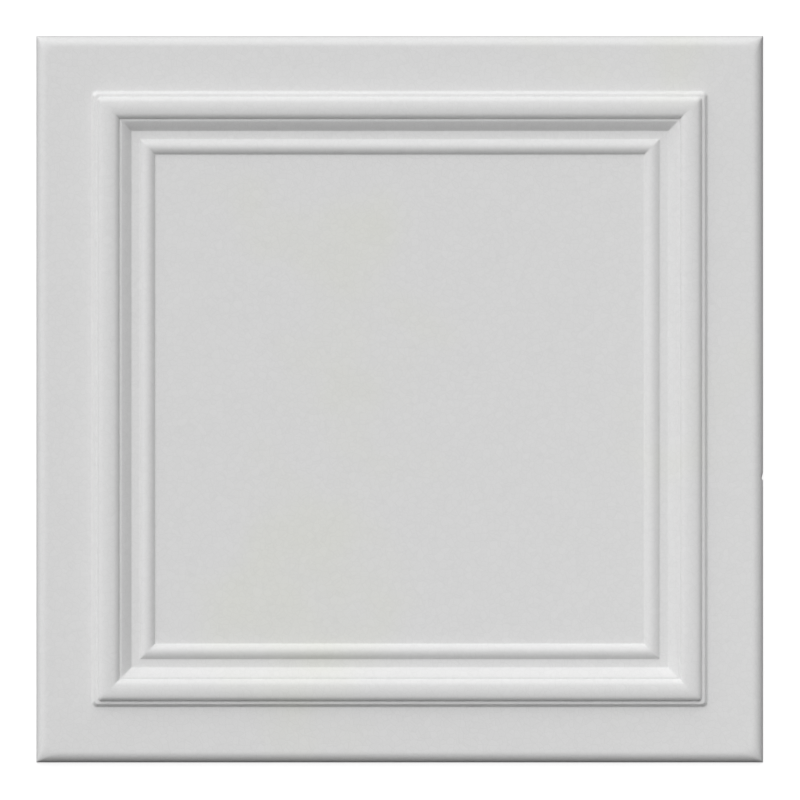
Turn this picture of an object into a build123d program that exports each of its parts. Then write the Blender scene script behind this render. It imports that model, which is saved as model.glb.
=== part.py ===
from build123d import *
import os
from math import sqrt

# Moulded foam ceiling tile: one square panel with a flat back for the adhesive, a plain border
# with a rounded outer edge, and a mitred picture-frame moulding round a flat sunk field.

# Outline, in millimetres
tile_size = 500.0  # edge to edge, the module that the tiles are laid at
flank_height = 1.0  # upright edge that butts against the next tile
edge_radius = 7.7  # rounded arris above the flank
border_width = 38.6  # tile edge to the foot of the moulding

# Moulding, in the order of its members from the border in to the field
step_run = 1.9  # sloping riser of the outer step, in plan
step_rise = 2.7
tread_width = 2.2  # flat top of the outer step
shoulder_run = 3.15  # outer shoulder of the half-round, in plan
shoulder_rise = 3.65
crown_width = 8.2  # gently arched top of the half-round
crown_rise = 0.4
inner_shoulder_run = 3.45  # inner shoulder of the half-round, in plan
inner_shoulder_drop = 3.3
ledge_width = 1.55  # flat quirk below the half-round
slope_run = 6.5  # ogee that falls to the valley
slope_drop = 5.2
slope_bulge = 0.35  # how far the ogee stands out past its chord
valley_width = 5.9  # flat valley before the bead
bead_radius = 6.0  # bead that borders the field
bead_rise = 3.05
bead_drop = 2.85

corner_radius = 2.5  # plan rounding of the outer step's four corners
quirk_radius = 0.8  # how the foam rounds every sharp line of the moulding
level_match = 0.01  # how near two places must be to count as one

# Worked out from the sizes above
half = tile_size / 2
border_thickness = flank_height + edge_radius
tread_thickness = border_thickness + step_rise
crest_thickness = tread_thickness + shoulder_rise + crown_rise
bead_outer_run = sqrt(2 * bead_radius * bead_rise - bead_rise**2)
bead_inner_run = sqrt(2 * bead_radius * bead_drop - bead_drop**2)


def half_section():
    """Cross-section from the tile's edge in to its centre line, standing on its back along X."""
    flank = Line((-half, 0), (-half, flank_height))
    arris = RadiusArc(flank @ 1, flank @ 1 + (edge_radius, edge_radius), edge_radius)
    border = Line(arris @ 1, (border_width - half, border_thickness))
    riser = Line(border @ 1, border @ 1 + (step_run, step_rise))
    tread = Line(riser @ 1, riser @ 1 + (tread_width, 0))
    crown_start = tread @ 1 + (shoulder_run, shoulder_rise)
    crown = SagittaArc(crown_start, crown_start + (crown_width, 0), crown_rise)
    shoulder = TangentArc(crown @ 0, tread @ 1, tangent=crown % 0 * -1)
    inner_foot = crown @ 1 + (inner_shoulder_run, -inner_shoulder_drop)
    inner_shoulder = TangentArc(crown @ 1, inner_foot, tangent=crown % 1)
    ledge = Line(inner_foot, inner_foot + (ledge_width, 0))
    slope = SagittaArc(ledge @ 1, ledge @ 1 + (slope_run, -slope_drop), slope_bulge)
    valley = Line(slope @ 1, slope @ 1 + (valley_width, 0))
    bead_crest = valley @ 1 + (bead_outer_run, bead_rise)
    bead = ThreePointArc(valley @ 1, bead_crest, bead_crest + (bead_inner_run, -bead_drop))
    field_and_back = Polyline(bead @ 1, (0, (bead @ 1).Y), (0, 0), (-half, 0))
    face = make_face([
        flank, arris, border, riser, tread, shoulder, crown, inner_shoulder,
        ledge, slope, valley, bead, field_and_back,
    ])
    quirks = [tread @ 1, ledge @ 0, ledge @ 1, valley @ 0, valley @ 1, bead @ 1]
    sharp = face.vertices().filter_by(lambda vertex: any(same_place(vertex, quirk) for quirk in quirks))
    return Plane.XZ * fillet(sharp, quirk_radius)


def same_place(vertex, point):
    return (vertex.center() - point).length < level_match


def mitred_side(section):
    """One side of the tile: the section run along its edge and mitred to the middle of the tile."""
    run = extrude(section, amount=half, both=True)
    quadrant = make_face(Polyline((0, 0), (-half, half), (-half, -half), close=True))
    return run & extrude(quadrant, crest_thickness + edge_radius)


def spans_the_step(shape):
    """True for a face or an edge that runs from the border up to the tread."""
    box = shape.bounding_box()
    at_foot = abs(box.min.Z - border_thickness) < level_match
    return at_foot and abs(box.max.Z - tread_thickness) < level_match


def is_level(edge):
    return edge.bounding_box().size.Z < level_match


side = mitred_side(half_section())
tile = Part() + [Rot(Z=90 * turn) * side for turn in range(4)]
tile = fillet(tile.edges().filter_by(spans_the_step), corner_radius)
step_lines = tile.faces().filter_by(spans_the_step).edges().filter_by(is_level)
tile = fillet(step_lines, quirk_radius)

print("ceiling_tile", tile.bounding_box().size, "mm,", round(tile.volume / 1000), "cm3")

os.makedirs("parts", exist_ok=True)
export_step(tile, "parts/ceiling_tile.step")
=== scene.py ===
import bpy
import math
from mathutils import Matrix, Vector


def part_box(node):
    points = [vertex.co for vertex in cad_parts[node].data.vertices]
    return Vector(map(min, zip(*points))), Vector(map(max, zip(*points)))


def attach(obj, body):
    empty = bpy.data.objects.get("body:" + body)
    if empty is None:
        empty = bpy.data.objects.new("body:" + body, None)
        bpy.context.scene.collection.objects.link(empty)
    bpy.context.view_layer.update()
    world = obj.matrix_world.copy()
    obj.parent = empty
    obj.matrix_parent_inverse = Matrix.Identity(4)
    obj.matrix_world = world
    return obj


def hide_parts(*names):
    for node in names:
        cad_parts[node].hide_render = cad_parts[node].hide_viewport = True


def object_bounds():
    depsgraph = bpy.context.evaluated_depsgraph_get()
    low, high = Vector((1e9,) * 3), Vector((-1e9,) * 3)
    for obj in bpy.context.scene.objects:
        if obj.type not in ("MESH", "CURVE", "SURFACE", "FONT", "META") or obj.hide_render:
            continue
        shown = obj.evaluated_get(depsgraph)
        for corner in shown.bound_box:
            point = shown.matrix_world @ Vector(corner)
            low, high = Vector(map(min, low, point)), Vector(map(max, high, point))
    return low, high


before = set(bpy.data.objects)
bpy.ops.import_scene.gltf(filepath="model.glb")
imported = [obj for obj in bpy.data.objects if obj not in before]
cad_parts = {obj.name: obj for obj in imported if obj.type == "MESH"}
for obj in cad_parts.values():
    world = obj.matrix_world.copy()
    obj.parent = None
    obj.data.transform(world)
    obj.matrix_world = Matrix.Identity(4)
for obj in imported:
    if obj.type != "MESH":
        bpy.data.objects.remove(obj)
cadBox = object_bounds()
mm = 0.001
scene = bpy.context.scene
print("frame loaded:", sorted(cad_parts))


# Node helpers
def addNode(tree, kind, inputs=None, **settings):
    node = tree.nodes.new(kind)
    for name, value in settings.items():
        setattr(node, name, value)
    for name, value in (inputs or {}).items():
        if isinstance(value, bpy.types.NodeSocket):
            tree.links.new(value, node.inputs[name])
        else:
            node.inputs[name].default_value = value
    return node


def calc(tree, operation, *values):
    return addNode(tree, "ShaderNodeMath", dict(enumerate(values)), operation=operation).outputs[0]


def newTree(name, kind, inputs, outputs):
    tree = bpy.data.node_groups.new(name, kind)
    for label, socket in inputs.items():
        tree.interface.new_socket(label, in_out="INPUT", socket_type="NodeSocket" + socket)
    for label, socket in outputs.items():
        tree.interface.new_socket(label, in_out="OUTPUT", socket_type="NodeSocket" + socket)
    return tree, addNode(tree, "NodeGroupInput").outputs


# The tile's section, from the outer edge in to the middle, in millimetres
tileSection = {
    "flankHeight": 1.0,
    "edgeRadius": 7.7,
    "borderWidth": 38.6,
    "stepRun": 1.9,
    "stepRise": 2.7,
    "treadWidth": 2.2,
    "shoulderRun": 3.15,
    "shoulderRise": 3.65,
    "crownWidth": 8.2,
    "crownRise": 0.4,
    "innerShoulderRun": 3.45,
    "innerShoulderDrop": 3.3,
    "ledgeWidth": 1.55,
    "slopeRun": 6.5,
    "slopeDrop": 5.2,
    "slopeBulge": 0.35,
    "valleyWidth": 5.9,
    "beadRadius": 6.0,
    "beadRise": 3.05,
    "beadDrop": 2.85,
    "softness": 0.48,  # how far the foam rounds each arris and quirk
}
tileCorners = {
    "edgeRadius": 9.0,  # plan rounding where the rounded edge runs into the border
    "edgeFadeIn": 12.0,  # over which it dies out on the flat border
    "stepRadius": 3.2,  # plan rounding at the foot of the outer step
    "stepFadeOut": 5.0,  # over which it dies out towards the tile's edge
    "stepFadeIn": 13.0,  # and towards the crown
}
edgeNick = {
    "start": -50.0,  # on the right-hand edge, from the middle of the tile
    "end": -55.8,
    "depth": 0.95,
    "height": 6.0,  # it runs out this far above the back
    "reach": 4.0,  # nothing further in than this moves
}
tileMesh = {
    "pieces": {  # how many straight pieces each member of the section is cut into
        "edge": 12,
        "edgeFade": 8,
        "border": 3,
        "riser": 3,
        "tread": 3,
        "shoulder": 8,
        "crown": 8,
        "ledge": 3,
        "slope": 7,
        "valley": 4,
        "bead": 14,
        "field": 6,
        "nick": 10,
        "middle": 3,
        "arris": 3,
    },
    "fadeMargin": 2.0,  # the closer lines go on this far past the edge's fade
    "support": 1.0,  # spacing of the lines that keep a flat surface flat beside an arris
    "weld": 0.01,  # points nearer than this become one
    "tie": 1e-9,  # metres by which two lengths may differ and still be equal
    "backTilt": -0.9,  # a face whose normal points lower than this is the back
}


def straight(start, end, pieces):
    return [start.lerp(end, step / pieces) for step in range(pieces + 1)]


def arc(start, end, bulge, pieces):  # bulge is the sagitta, to the left of the way from start to end
    chord = end - start
    radius = (chord.length**2 / 4 + bulge**2) / (2 * bulge)
    toSide = Vector((-chord.y, chord.x)).normalized()
    centre = start.lerp(end, 0.5) + toSide * (bulge - radius)
    turn = 4 * math.atan(2 * bulge / chord.length)
    spoke = start - centre
    points = []
    for step in range(pieces + 1):
        angle = -turn * step / pieces
        points.append(centre + Vector((
            spoke.x * math.cos(angle) - spoke.y * math.sin(angle),
            spoke.x * math.sin(angle) + spoke.y * math.cos(angle))))
    return points


def tangentBulge(chord, tangent):  # sagitta of the arc that leaves a point along the tangent
    turn = abs(chord.angle_signed(tangent))
    return chord.length / 2 * math.tan(turn / 2)


def softened(members, softness, pieces):  # joins the members, each corner rounded
    points = list(members[0])
    for member in members[1:]:
        corner = member[0]
        before = [point for point in points if (point - corner).length > softness]
        after = [point for point in member if (point - corner).length > softness]
        towards = (points[-2] - corner).normalized() * softness + corner
        away = (member[1] - corner).normalized() * softness + corner
        for step in range(pieces + 1):
            share = step / pieces
            before.append(towards.lerp(corner, share).lerp(corner.lerp(away, share), share))
        points = before + after
    return points


def sectionPoints(size, half):
    flankTop = Vector((0, size["flankHeight"]))
    borderTop = size["flankHeight"] + size["edgeRadius"]
    edgeIn = Vector((size["edgeRadius"], borderTop))
    foot = Vector((size["borderWidth"], borderTop))
    stepTop = foot + Vector((size["stepRun"], size["stepRise"]))
    treadEnd = stepTop + Vector((size["treadWidth"], 0))
    crownStart = treadEnd + Vector((size["shoulderRun"], size["shoulderRise"]))
    crownEnd = crownStart + Vector((size["crownWidth"], 0))
    ledgeStart = crownEnd + Vector((size["innerShoulderRun"], -size["innerShoulderDrop"]))
    ledgeEnd = ledgeStart + Vector((size["ledgeWidth"], 0))
    valleyStart = ledgeEnd + Vector((size["slopeRun"], -size["slopeDrop"]))
    valleyEnd = valleyStart + Vector((size["valleyWidth"], 0))
    beadIn = math.sqrt(2 * size["beadRadius"] * size["beadRise"] - size["beadRise"]**2)
    beadOut = math.sqrt(2 * size["beadRadius"] * size["beadDrop"] - size["beadDrop"]**2)
    fieldStart = valleyEnd + Vector((beadIn + beadOut, size["beadRise"] - size["beadDrop"]))
    beadSpan = (fieldStart - valleyEnd).length

    crownSpread = size["crownWidth"]**2 - 4 * size["crownRise"]**2
    crownSlope = 4 * size["crownRise"] * size["crownWidth"] / crownSpread
    shoulderBulge = tangentBulge(crownStart - treadEnd, Vector((1, crownSlope)))
    innerBulge = tangentBulge(ledgeStart - crownEnd, Vector((1, -crownSlope)))
    beadBulge = size["beadRadius"] - math.sqrt(size["beadRadius"]**2 - beadSpan**2 / 4)
    edgeBulge = size["edgeRadius"] * (1 - math.sqrt(0.5))

    pieces = tileMesh["pieces"]
    support = Vector((tileMesh["support"], 0))
    fadeEnd = edgeIn + Vector((tileCorners["edgeFadeIn"] + tileMesh["fadeMargin"], 0))
    border = straight(Vector((0, 0)), flankTop, 1)
    border += arc(flankTop, edgeIn, edgeBulge, pieces["edge"])[1:]
    border += straight(edgeIn, fadeEnd, pieces["edgeFade"])[1:]
    border += straight(fadeEnd, foot - support, pieces["border"])[1:] + [foot]
    halfRound = arc(treadEnd, crownStart, shoulderBulge, pieces["shoulder"])
    halfRound += arc(crownStart, crownEnd, size["crownRise"], pieces["crown"])[1:]
    halfRound += arc(crownEnd, ledgeStart, innerBulge, pieces["shoulder"])[1:]

    # the field has closer lines where they run out to the nick
    nickStart = Vector((half + edgeNick["start"], fieldStart.y))
    nickEnd = Vector((half + edgeNick["end"], fieldStart.y))
    field = [fieldStart, fieldStart + support]
    field += straight(fieldStart + support * 2, nickEnd, pieces["field"])
    field += straight(nickEnd, nickStart, pieces["nick"])[1:]
    field += straight(nickStart, Vector((half, fieldStart.y)), pieces["middle"])[1:]
    members = [
        border,
        straight(foot, stepTop, pieces["riser"]),
        straight(stepTop, treadEnd, pieces["tread"]),
        halfRound,
        straight(ledgeStart, ledgeEnd, pieces["ledge"]),
        arc(ledgeEnd, valleyStart, size["slopeBulge"], pieces["slope"]),
        straight(valleyStart, valleyEnd, pieces["valley"]),
        arc(valleyEnd, fieldStart, beadBulge, pieces["bead"]),
        field,
    ]
    return softened(members, size["softness"], pieces["arris"])


def mitredTileTree():
    sizes = ("Tile Size", "Edge Width", "Edge Corner", "Edge Fade In",
             "Step Foot", "Step Corner", "Step Fade Out", "Step Fade In")
    inputs = {"Section": "Geometry", **dict.fromkeys(sizes, "Float")}
    inputs.update({"Skin": "Material", "Back": "Material"})
    tree, given = newTree("mitredTile", "GeometryNodeTree", inputs, {"Geometry": "Geometry"})
    section = given["Section"]
    position = addNode(tree, "GeometryNodeInputPosition").outputs[0]
    weld = tileMesh["weld"] * mm
    tie = tileMesh["tie"]

    # one grid line for each point of the section, counted in from both edges
    count = addNode(tree, "GeometryNodeAttributeDomainSize", {"Geometry": section}).outputs["Point Count"]
    lastRing = calc(tree, "SUBTRACT", count, 1)
    span = calc(tree, "MULTIPLY", lastRing, 2)
    lines = calc(tree, "ADD", span, 1)
    grid = addNode(tree, "GeometryNodeMeshGrid",
                   {"Size X": span, "Size Y": span, "Vertices X": lines, "Vertices Y": lines})
    at = addNode(tree, "ShaderNodeSeparateXYZ", {0: position}).outputs

    def sectionAt(ring):
        sample = addNode(tree, "GeometryNodeSampleIndex",
                         {"Geometry": section, "Value": position, "Index": ring},
                         data_type="FLOAT_VECTOR", clamp=True)
        return addNode(tree, "ShaderNodeSeparateXYZ", {0: sample.outputs[0]}).outputs

    def ringOf(coordinate):
        return calc(tree, "ROUND", calc(tree, "SUBTRACT", lastRing, calc(tree, "ABSOLUTE", coordinate)))

    ringX = ringOf(at["X"])
    ringY = ringOf(at["Y"])
    inX = sectionAt(ringX)["X"]  # how far in from the tile's edge each grid line lies
    inY = sectionAt(ringY)["X"]
    ring = sectionAt(calc(tree, "MINIMUM", ringX, ringY))

    # the edge and the outer step have rounded corners: points near the mitre slide on to an arc
    def cornerRadius(place, radius, fadeOut, fadeIn):
        outside = calc(tree, "DIVIDE", calc(tree, "SUBTRACT", ring["X"], place), fadeOut)
        inside = calc(tree, "DIVIDE", calc(tree, "SUBTRACT", place, ring["X"]), fadeIn)
        share = calc(tree, "ADD", calc(tree, "MINIMUM", outside, inside), 1)
        return calc(tree, "MULTIPLY", share, radius)

    edgeCorner = cornerRadius(given["Edge Width"], given["Edge Corner"],
                              given["Edge Width"], given["Edge Fade In"])
    stepCorner = cornerRadius(given["Step Foot"], given["Step Corner"],
                              given["Step Fade Out"], given["Step Fade In"])
    radius = calc(tree, "MAXIMUM", calc(tree, "MAXIMUM", edgeCorner, stepCorner), tie)
    reach = calc(tree, "SUBTRACT", calc(tree, "MAXIMUM", inX, inY), ring["X"])
    share = calc(tree, "MAXIMUM", calc(tree, "SUBTRACT", 1, calc(tree, "DIVIDE", reach, radius)), 0)
    angle = calc(tree, "MULTIPLY", share, math.pi / 4)
    nearPull = calc(tree, "MULTIPLY", radius, calc(tree, "SUBTRACT", 1, calc(tree, "COSINE", angle)))
    farPull = calc(tree, "MULTIPLY", radius, calc(tree, "SUBTRACT", share, calc(tree, "SINE", angle)))
    nearX = calc(tree, "LESS_THAN", inX, calc(tree, "ADD", inY, tie))
    nearY = calc(tree, "LESS_THAN", inY, calc(tree, "ADD", inX, tie))

    def placed(coordinate, inward, near):
        pull = addNode(tree, "ShaderNodeMix", {"Factor": near, "A": farPull, "B": nearPull}).outputs[0]
        half = calc(tree, "MULTIPLY", given["Tile Size"], 0.5)
        distance = calc(tree, "SUBTRACT", calc(tree, "SUBTRACT", half, inward), pull)
        return calc(tree, "MULTIPLY", distance, calc(tree, "SIGN", coordinate))

    place = addNode(tree, "ShaderNodeCombineXYZ",
                    {"X": placed(at["X"], inX, nearX), "Y": placed(at["Y"], inY, nearY), "Z": ring["Z"]})
    shaped = addNode(tree, "GeometryNodeSetPosition",
                     {"Geometry": grid.outputs["Mesh"], "Position": place.outputs[0]})
    joined = addNode(tree, "GeometryNodeMergeByDistance",
                     {"Geometry": shaped.outputs[0], "Distance": weld})
    mitred = addNode(tree, "GeometryNodeTriangulate", {"Mesh": joined.outputs[0]},
                     quad_method="LONGEST_DIAGONAL")
    front = addNode(tree, "GeometryNodeSetShadeSmooth",
                    {"Geometry": mitred.outputs[0], "Shade Smooth": True})

    # the flat back closes the open rim, whose edges have one face each
    neighbours = addNode(tree, "GeometryNodeInputMeshEdgeNeighbors").outputs["Face Count"]
    rim = addNode(tree, "GeometryNodeMeshToCurve",
                  {"Mesh": joined.outputs[0], "Selection": calc(tree, "LESS_THAN", neighbours, 2)})
    back = addNode(tree, "GeometryNodeFillCurve", {"Curve": rim.outputs[0]}, mode="NGONS")
    back = addNode(tree, "GeometryNodeFlipFaces", {"Mesh": back.outputs[0]})
    back = addNode(tree, "GeometryNodeSetShadeSmooth",
                   {"Geometry": back.outputs[0], "Shade Smooth": False})
    both = addNode(tree, "GeometryNodeJoinGeometry")
    tree.links.new(back.outputs[0], both.inputs[0])
    tree.links.new(front.outputs[0], both.inputs[0])
    closed = addNode(tree, "GeometryNodeMergeByDistance",
                     {"Geometry": both.outputs[0], "Distance": weld})

    # the face is skinned, and the back shows bare foam
    real = addNode(tree, "GeometryNodeRealizeInstances", {"Geometry": closed.outputs[0]})
    skinned = addNode(tree, "GeometryNodeSetMaterial",
                      {"Geometry": real.outputs[0], "Material": given["Skin"]})
    facing = addNode(tree, "GeometryNodeInputNormal").outputs[0]
    upward = addNode(tree, "ShaderNodeSeparateXYZ", {0: facing}).outputs["Z"]
    finished = addNode(tree, "GeometryNodeSetMaterial", {
        "Geometry": skinned.outputs[0],
        "Selection": calc(tree, "LESS_THAN", upward, tileMesh["backTilt"]),
        "Material": given["Back"]})
    addNode(tree, "NodeGroupOutput", {"Geometry": finished.outputs[0]})
    return tree


def pressNick(mesh, edge):  # a small bite out of the right-hand edge, deeper towards its lower end
    for vertex in mesh.vertices:
        along = (vertex.co.y / mm - edgeNick["start"]) / (edgeNick["end"] - edgeNick["start"])
        up = vertex.co.z / mm / edgeNick["height"]
        if edge - vertex.co.x < edgeNick["reach"] * mm and 0 < along < 1 and up < 1:
            vertex.co.x -= edgeNick["depth"] * mm * math.sin(math.pi * along**2) * (1 - up**2)


def buildTile(skin, back):
    low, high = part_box("ceiling_tile")
    tileSize = high[0] - low[0]
    section = sectionPoints(tileSection, tileSize / 2 / mm)
    points = [Vector((point.x, 0, point.y)) * mm for point in section]
    mesh = bpy.data.meshes.new("tileSection")
    mesh.from_pydata(points, [(step, step + 1) for step in range(len(points) - 1)], [])
    tile = bpy.data.objects.new("moulded_tile", mesh)
    scene.collection.objects.link(tile)
    modifier = tile.modifiers.new("mitredTile", "NODES")
    tree = mitredTileTree()
    modifier.node_group = tree
    values = {
        "Tile Size": tileSize,
        "Edge Width": tileSection["edgeRadius"] * mm,
        "Edge Corner": tileCorners["edgeRadius"] * mm,
        "Edge Fade In": tileCorners["edgeFadeIn"] * mm,
        "Step Foot": tileSection["borderWidth"] * mm,
        "Step Corner": tileCorners["stepRadius"] * mm,
        "Step Fade Out": tileCorners["stepFadeOut"] * mm,
        "Step Fade In": tileCorners["stepFadeIn"] * mm,
        "Skin": skin,
        "Back": back,
    }
    for item in tree.interface.items_tree:
        if item.in_out == "INPUT" and item.name in values:
            modifier[item.identifier] = values[item.name]
    evaluated = tile.evaluated_get(bpy.context.evaluated_depsgraph_get())
    tile.data = bpy.data.meshes.new_from_object(evaluated)
    tile.data.name = "moulded_tile"
    tile.modifiers.remove(modifier)
    tile.data.materials.pop(index=0)  # the tree leaves an empty slot before its own two
    bpy.data.meshes.remove(mesh)
    pressNick(tile.data, high[0])
    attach(tile, "root")
    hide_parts("ceiling_tile")
    print("tile built:", len(points), "points in the section,", len(tile.data.polygons), "faces")


# The foam: a pressed skin on the moulded face, and the bare beads of the back. Lengths in millimetres
skinLook = {
    "white": (0.800, 0.800, 0.800, 1),
    "warmWhite": (0.794, 0.800, 0.760, 1),  # where the skin has yellowed a little
    "patchSize": 170.0,
    "patchShift": (-5140.0, 240.0, 0.0),  # slides the pattern until one patch lies low on the field's left
    "patchStart": 0.54,  # the noise at which a patch begins
    "patchFull": 0.70,
    "beadSize": 4.2,
    "seamWidth": 0.10,  # of a bead
    "seamShade": 0.028,  # how much darker the seams between beads are
    "beadShade": 0.020,  # how much one bead's tone differs from the next
    "seamDepth": 0.021,
    "waveSize": 45.0,
    "waveHeight": 0.25,
    "grainSize": 0.7,
    "grainHeight": 0.006,
    "roughness": 0.55,
    "roughnessSpread": 0.12,
    "specular": 0.25,
}
backLook = {
    **skinLook,
    "seamWidth": 0.16,
    "seamShade": 0.07,
    "beadShade": 0.04,
    "seamDepth": 0.09,
    "grainHeight": 0.012,
    "roughness": 0.72,
}
foamPattern = {
    "wobbleScale": 0.6,  # counted in beads, whose cells this noise bends out of true
    "wobbleReach": 0.9,
    "wobbleDetail": 1.0,
    "patchDetail": 3.0,
    "waveDetail": 1.0,
    "grainDetail": 2.0,
}


def foamBeadsGroup():
    inputs = {"Place": "Vector", "Bead Size": "Float", "Seam Width": "Float"}
    outputs = dict.fromkeys(("Seam", "Tone"), "Float")
    tree, given = newTree("foamBeads", "ShaderNodeTree", inputs, outputs)
    beadsPerMetre = calc(tree, "DIVIDE", 1, given["Bead Size"])
    spot = addNode(tree, "ShaderNodeVectorMath", {0: given["Place"], "Scale": beadsPerMetre},
                   operation="SCALE").outputs[0]
    wobble = addNode(tree, "ShaderNodeTexNoise", {
        "Vector": spot,
        "Scale": foamPattern["wobbleScale"],
        "Detail": foamPattern["wobbleDetail"]})
    reach = (foamPattern["wobbleReach"],) * 3
    spot = addNode(tree, "ShaderNodeVectorMath", {0: wobble.outputs["Color"], 1: reach, 2: spot},
                   operation="MULTIPLY_ADD").outputs[0]
    cells = {"Vector": spot, "Scale": 1.0}
    edges = addNode(tree, "ShaderNodeTexVoronoi", cells, feature="DISTANCE_TO_EDGE")
    beads = addNode(tree, "ShaderNodeTexVoronoi", cells, feature="F1")
    seam = addNode(tree, "ShaderNodeMapRange", {
        "Value": edges.outputs["Distance"],
        "From Max": given["Seam Width"],
        "To Min": 1.0,
        "To Max": 0.0}, interpolation_type="SMOOTHSTEP")
    tone = addNode(tree, "ShaderNodeSeparateColor", {0: beads.outputs["Color"]})
    addNode(tree, "NodeGroupOutput", {"Seam": seam.outputs[0], "Tone": tone.outputs[0]})
    return tree


def skinMottleGroup():
    sizes = ("Patch Size", "Patch Start", "Patch Full", "Wave Size", "Grain Size")
    inputs = {"Place": "Vector", "Patch Shift": "Vector", **dict.fromkeys(sizes, "Float")}
    outputs = dict.fromkeys(("Patch", "Wave", "Grain"), "Float")
    tree, given = newTree("skinMottle", "ShaderNodeTree", inputs, outputs)
    place = given["Place"]

    def noise(spot, size, detail):
        scale = calc(tree, "DIVIDE", 1, size)
        values = {"Vector": spot, "Scale": scale, "Detail": foamPattern[detail]}
        return addNode(tree, "ShaderNodeTexNoise", values).outputs[0]

    shifted = addNode(tree, "ShaderNodeVectorMath", {0: place, 1: given["Patch Shift"]}, operation="ADD")
    patch = addNode(tree, "ShaderNodeMapRange", {
        "Value": noise(shifted.outputs[0], given["Patch Size"], "patchDetail"),
        "From Min": given["Patch Start"],
        "From Max": given["Patch Full"]}, interpolation_type="SMOOTHSTEP")
    addNode(tree, "NodeGroupOutput", {
        "Patch": patch.outputs[0],
        "Wave": noise(place, given["Wave Size"], "waveDetail"),
        "Grain": noise(place, given["Grain Size"], "grainDetail")})
    return tree


def foamMaterial(name, look, beadsGroup, mottleGroup):
    material = bpy.data.materials.new(name)
    material.use_nodes = True
    tree = material.node_tree
    shader = tree.nodes["Principled BSDF"]
    place = addNode(tree, "ShaderNodeTexCoord").outputs["Object"]
    beads = addNode(tree, "ShaderNodeGroup", {
        "Place": place,
        "Bead Size": look["beadSize"] * mm,
        "Seam Width": look["seamWidth"]}, node_tree=beadsGroup)
    mottle = addNode(tree, "ShaderNodeGroup", {
        "Place": place,
        "Patch Shift": Vector(look["patchShift"]) * mm,
        "Patch Size": look["patchSize"] * mm,
        "Patch Start": look["patchStart"],
        "Patch Full": look["patchFull"],
        "Wave Size": look["waveSize"] * mm,
        "Grain Size": look["grainSize"] * mm}, node_tree=mottleGroup)
    seam = beads.outputs["Seam"]
    grain = mottle.outputs["Grain"]

    tint = addNode(tree, "ShaderNodeMix", {
        "Factor": mottle.outputs["Patch"],
        "A": look["white"],
        "B": look["warmWhite"]}, data_type="RGBA")
    shade = calc(tree, "MULTIPLY_ADD", beads.outputs["Tone"], look["beadShade"], 1 - look["beadShade"] / 2)
    shade = calc(tree, "MULTIPLY_ADD", seam, -look["seamShade"], shade)
    colour = addNode(tree, "ShaderNodeVectorMath", {0: tint.outputs["Result"], "Scale": shade},
                     operation="SCALE")
    tree.links.new(colour.outputs[0], shader.inputs["Base Color"])

    spread = look["roughnessSpread"]
    roughness = calc(tree, "MULTIPLY_ADD", grain, spread, look["roughness"] - spread / 2)
    tree.links.new(roughness, shader.inputs["Roughness"])
    height = calc(tree, "MULTIPLY", mottle.outputs["Wave"], look["waveHeight"])
    height = calc(tree, "MULTIPLY_ADD", grain, look["grainHeight"], height)
    height = calc(tree, "MULTIPLY_ADD", seam, -look["seamDepth"], height)
    bump = addNode(tree, "ShaderNodeBump", {"Height": height, "Strength": 1.0, "Distance": mm})
    tree.links.new(bump.outputs[0], shader.inputs["Normal"])
    shader.inputs["Specular IOR Level"].default_value = look["specular"]
    print("material made:", name)
    return material


# The stage
stageLook = {
    "floorSize": 6.0,  # metres across
    "floorDrop": 0.2,  # millimetres below the tile's back
    "floorWhite": 0.45,
    "floorRoughness": 0.9,
    "floorGlow": 0.75,
}
skyLook = {
    "falloff": 3.0,  # how closely each light gathers round its middle
    "lights": [  # strength, degrees above the floor, degrees from the picture's top round to its left
        {"strength": 1.42, "elevation": 48, "turn": 0},
        {"strength": 0.97, "elevation": 48, "turn": 60},
        {"strength": 0.58, "elevation": 12, "turn": 45},
    ],
}
fillLook = {
    "power": 0.25,
    "size": 0.4,
    "place": (0.66, -0.18, 0.12),  # in metres: low, beyond the right-hand edge
    "aim": (0.2, -0.12, 0.0),
}
cameraLook = {
    "height": 5.0,  # metres above the tile's back
    "focusPlane": 0.004,  # the level that is drawn at exactly the width below
    "pixelsAcross": 727,  # the tile's width in the picture
    "framePixels": 800,
    "sensor": 36.0,
    "aimX": 0.0002,  # the point of the tile in the middle of the picture
    "aimY": -0.0006,
}


def buildFloor():
    size = stageLook["floorSize"] / 2
    mesh = bpy.data.meshes.new("floor")
    corners = [(-size, -size, 0), (size, -size, 0), (size, size, 0), (-size, size, 0)]
    mesh.from_pydata(corners, [], [(0, 1, 2, 3)])
    floor = bpy.data.objects.new("floor", mesh)
    scene.collection.objects.link(floor)
    floor.location.z = -stageLook["floorDrop"] * mm
    material = bpy.data.materials.new("pale_floor")
    material.use_nodes = True
    shader = material.node_tree.nodes["Principled BSDF"]
    white = stageLook["floorWhite"]
    shader.inputs["Base Color"].default_value = (white, white, white, 1)
    shader.inputs["Roughness"].default_value = stageLook["floorRoughness"]
    shader.inputs["Emission Color"].default_value = (1, 1, 1, 1)
    shader.inputs["Emission Strength"].default_value = stageLook["floorGlow"]
    mesh.materials.append(material)
    floor.visible_diffuse = False  # the floor doesn't throw light back up
    floor.visible_glossy = False
    print("floor laid")


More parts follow.
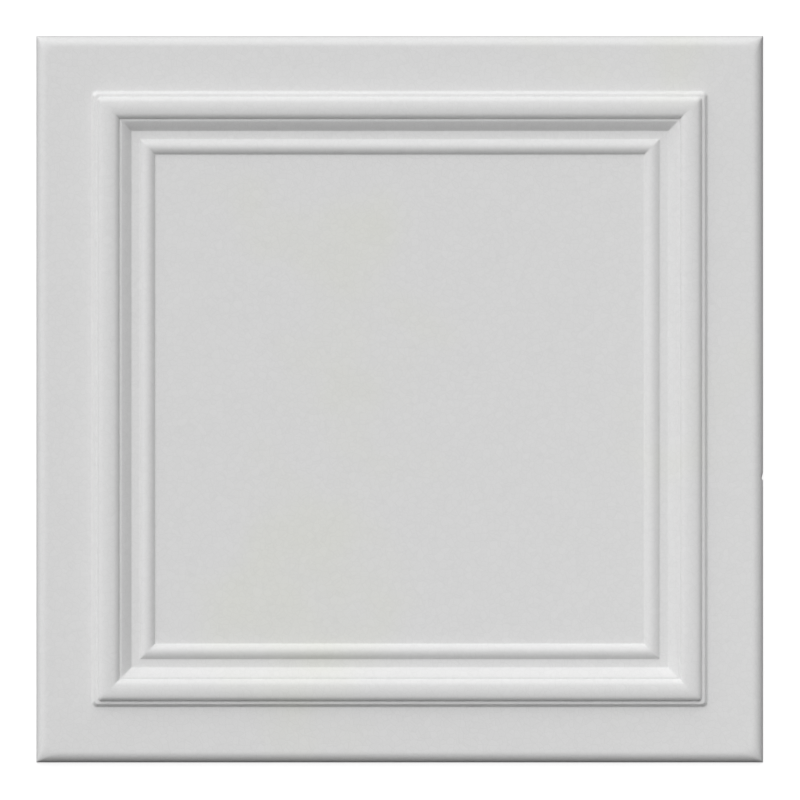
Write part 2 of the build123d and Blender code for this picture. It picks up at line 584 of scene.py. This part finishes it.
def buildSky():
    world = bpy.data.worlds.new("soft_studio")
    scene.world = world
    world.use_nodes = True
    tree = world.node_tree
    background = tree.nodes["Background"]
    direction = addNode(tree, "ShaderNodeTexCoord").outputs["Generated"]
    total = 0.0
    for light in skyLook["lights"]:
        elevation = math.radians(light["elevation"])
        turn = math.radians(light["turn"])
        brightSide = (
            -math.sin(turn) * math.cos(elevation),
            math.cos(turn) * math.cos(elevation),
            math.sin(elevation),
        )
        facing = addNode(tree, "ShaderNodeVectorMath", {0: direction, 1: brightSide},
                         operation="DOT_PRODUCT")
        glow = calc(tree, "MAXIMUM", facing.outputs["Value"], 0)
        glow = calc(tree, "POWER", glow, skyLook["falloff"])
        total = calc(tree, "MULTIPLY_ADD", glow, light["strength"], total)
    tree.links.new(total, background.inputs["Strength"])
    background.inputs["Color"].default_value = (1, 1, 1, 1)
    print("sky lit from", len(skyLook["lights"]), "sides")


def buildFill():
    data = bpy.data.lights.new("fill", "AREA")
    data.energy = fillLook["power"]
    data.size = fillLook["size"]
    lamp = bpy.data.objects.new("fill", data)
    scene.collection.objects.link(lamp)
    place = Vector(fillLook["place"])
    lamp.location = place
    lamp.rotation_euler = (Vector(fillLook["aim"]) - place).to_track_quat("-Z", "Y").to_euler()
    lamp.visible_camera = False
    print("fill light hung")


def buildCamera():
    data = bpy.data.cameras.new("camera")
    camera = bpy.data.objects.new("camera", data)
    scene.collection.objects.link(camera)
    low, high = cadBox
    width = (high[0] - low[0]) * cameraLook["framePixels"] / cameraLook["pixelsAcross"]
    data.sensor_width = cameraLook["sensor"]
    data.lens = cameraLook["sensor"] * (cameraLook["height"] - cameraLook["focusPlane"]) / width
    camera.location = (cameraLook["aimX"], cameraLook["aimY"], cameraLook["height"])
    scene.camera = camera
    print("camera set, lens", round(data.lens, 1))


beads = foamBeadsGroup()
mottle = skinMottleGroup()
skin = foamMaterial("white_foam_skin", skinLook, beads, mottle)
back = foamMaterial("white_foam_back", backLook, beads, mottle)
buildTile(skin, back)
buildFloor()
buildSky()
buildFill()
buildCamera()
scene.view_settings.view_transform = "Standard"
